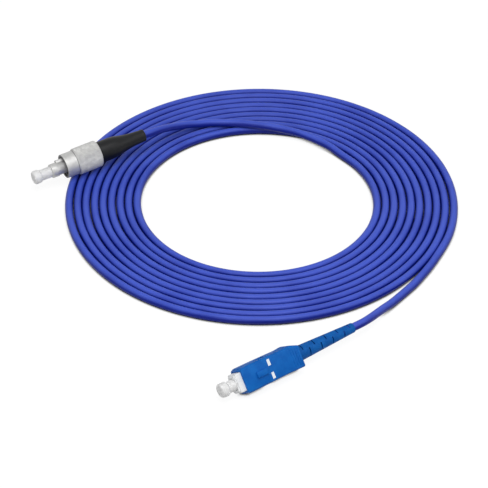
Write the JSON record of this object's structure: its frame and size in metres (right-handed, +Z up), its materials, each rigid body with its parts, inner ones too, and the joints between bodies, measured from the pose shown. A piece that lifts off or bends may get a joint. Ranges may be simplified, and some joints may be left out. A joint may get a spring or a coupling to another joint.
{
  "type": "fiber optic patch cord",
  "caption": "Coiled fibre optic patch cord: a threaded FC connector at one end and a push-pull SC connector at the other, each ferrule under a push-on dust cap.",
  "frame": {"origin": "middle of the coil, on the surface the cord lies on", "axes": "+Z up out of the coil; the connectors lie on the -X side, the SC one towards -Y"},
  "size_m": [0.1611, 0.1906, 0.0143],
  "materials": {
    "nickel": "bright nickel plating",
    "zirconia": "polished ceramic",
    "spring_steel": "drawn wire",
    "buffer": "smooth",
    "aramid": "loose fibre",
    "crimp_metal": "matt",
    "black_rubber": "smooth satin",
    "blue_rubber": "satin",
    "cap_plastic": "translucent, soft",
    "white_plastic": "fine satin",
    "blue_plastic": "satin moulding",
    "mark_paint": "flat print",
    "jacket": "smooth satin"
  },
  "bodies": {
    "patch_cord": {"cable_coil": "jacket", "cable_fc_lead": "jacket", "cable_sc_lead": "jacket", "fc_frame": "nickel", "fc_body": "nickel", "fc_yarn": "aramid", "fc_crimp_sleeve": "crimp_metal", "fc_buffer_fibre": "buffer", "fc_boot": "black_rubber", "fc_spring": "spring_steel", "sc_plug_frame": "white_plastic", "sc_stop": "nickel", "sc_yarn": "aramid", "sc_crimp_sleeve": "crimp_metal", "sc_buffer_fibre": "buffer", "sc_boot": "blue_rubber", "sc_spring": "spring_steel"},
    "fc_nut_carrier": {"fc_nut_ring": "spring_steel"},
    "fc_coupling_nut": {"fc_nut": "nickel"},
    "fc_ferrule_group": {"fc_ferrule": "zirconia", "fc_ferrule_flange": "nickel"},
    "fc_cap": {"fc_dust_cap": "cap_plastic"},
    "sc_grip": {"sc_housing": "blue_plastic", "sc_index_marks": "mark_paint"},
    "sc_ferrule_group": {"sc_ferrule": "zirconia", "sc_ferrule_flange": "nickel"},
    "sc_cap": {"sc_dust_cap": "cap_plastic"}
  },
  "joints": [
    {"name": "fc_cap_pull", "type": "slide", "parent": "patch_cord", "child": "fc_cap", "axis": [-0.8746, -0.4769, -0.0872], "range_m": [0, 0.03]},
    {"name": "fc_nut_slide", "type": "slide", "parent": "patch_cord", "child": "fc_nut_carrier", "axis": [-0.8746, -0.4769, -0.0872], "range_m": [0, 0.0012]},
    {"name": "fc_nut_spin", "type": "hinge", "parent": "fc_nut_carrier", "child": "fc_coupling_nut", "pos_m": [-0.0612, 0.0206, 0.0092], "axis": [-0.8746, -0.4769, -0.0872], "continuous": true},
    {"name": "fc_ferrule_float", "type": "slide", "parent": "patch_cord", "child": "fc_ferrule_group", "axis": [0.8746, 0.4769, 0.0872], "range_m": [0, 0.001], "stiffness_N_per_m": 2000, "springref_m": -0.003, "deforming": ["fc_spring"]},
    {"name": "sc_cap_pull", "type": "slide", "parent": "patch_cord", "child": "sc_cap", "axis": [-0.8039, -0.5948, 0], "range_m": [0, 0.03]},
    {"name": "sc_grip_slide", "type": "slide", "parent": "patch_cord", "child": "sc_grip", "axis": [-0.8039, -0.5948, 0], "range_m": [0, 0.002]},
    {"name": "sc_ferrule_float", "type": "slide", "parent": "patch_cord", "child": "sc_ferrule_group", "axis": [0.8039, 0.5948, 0], "range_m": [0, 0.001], "stiffness_N_per_m": 2000, "springref_m": -0.003, "deforming": ["sc_spring"]}
  ]
}
